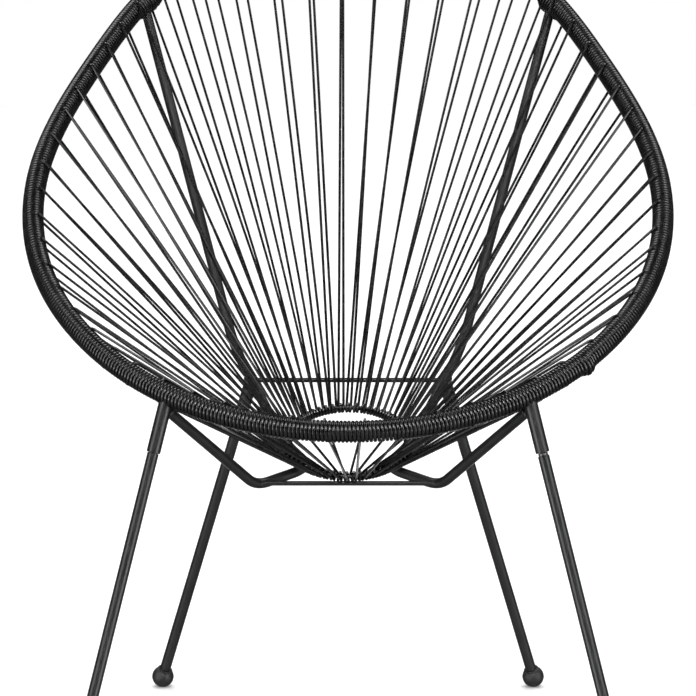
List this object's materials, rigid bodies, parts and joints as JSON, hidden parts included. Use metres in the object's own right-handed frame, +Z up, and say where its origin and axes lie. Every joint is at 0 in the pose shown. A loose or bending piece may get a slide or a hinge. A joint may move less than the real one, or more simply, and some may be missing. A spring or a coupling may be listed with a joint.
{
  "type": "acapulco chair",
  "caption": "Outdoor lounge chair: a wound oval ring with cords running to a small ring under the seat, on a tube frame with splayed legs.",
  "frame": {"origin": "on the floor, under the middle of the chair's bounding box", "axes": "+Z up, -Y towards the front, +X towards the left hand of a sitter seen from the front, which is the right of the picture"},
  "size_m": [0.7212, 0.789, 0.8823],
  "materials": {
    "coated_steel": "satin charcoal black powder coat",
    "cord_plastic": "slightly glossy black",
    "foot_rubber": "matt black",
    "plated_steel": "zinc plated"
  },
  "bodies": {
    "root": {"outer_ring_tube": "coated_steel", "inner_ring": "coated_steel", "side_rail_left": "coated_steel", "side_rail_right": "coated_steel", "front_cross_rod": "coated_steel", "rear_cross_rod": "coated_steel", "leg_socket_front_left": "coated_steel", "threaded_bush_front_left": "plated_steel", "leg_front_left": "coated_steel", "leg_stud_front_left": "plated_steel", "foot_front_left": "foot_rubber", "leg_socket_rear_left": "coated_steel", "threaded_bush_rear_left": "plated_steel", "leg_rear_left": "coated_steel", "leg_stud_rear_left": "plated_steel", "foot_rear_left": "foot_rubber", "leg_socket_front_right": "coated_steel", "threaded_bush_front_right": "plated_steel", "leg_front_right": "coated_steel", "leg_stud_front_right": "plated_steel", "foot_front_right": "foot_rubber", "leg_socket_rear_right": "coated_steel", "threaded_bush_rear_right": "plated_steel", "leg_rear_right": "coated_steel", "leg_stud_rear_right": "plated_steel", "foot_rear_right": "foot_rubber", "seat_cord_01": "cord_plastic", "seat_cord_02": "cord_plastic", "seat_cord_03": "cord_plastic", "seat_cord_04": "cord_plastic", "seat_cord_05": "cord_plastic", "seat_cord_06": "cord_plastic", "seat_cord_07": "cord_plastic", "seat_cord_08": "cord_plastic", "seat_cord_09": "cord_plastic", "seat_cord_10": "cord_plastic", "seat_cord_11": "cord_plastic", "seat_cord_12": "cord_plastic", "seat_cord_13": "cord_plastic", "seat_cord_14": "cord_plastic", "seat_cord_15": "cord_plastic"}
  },
  "joints": []
}
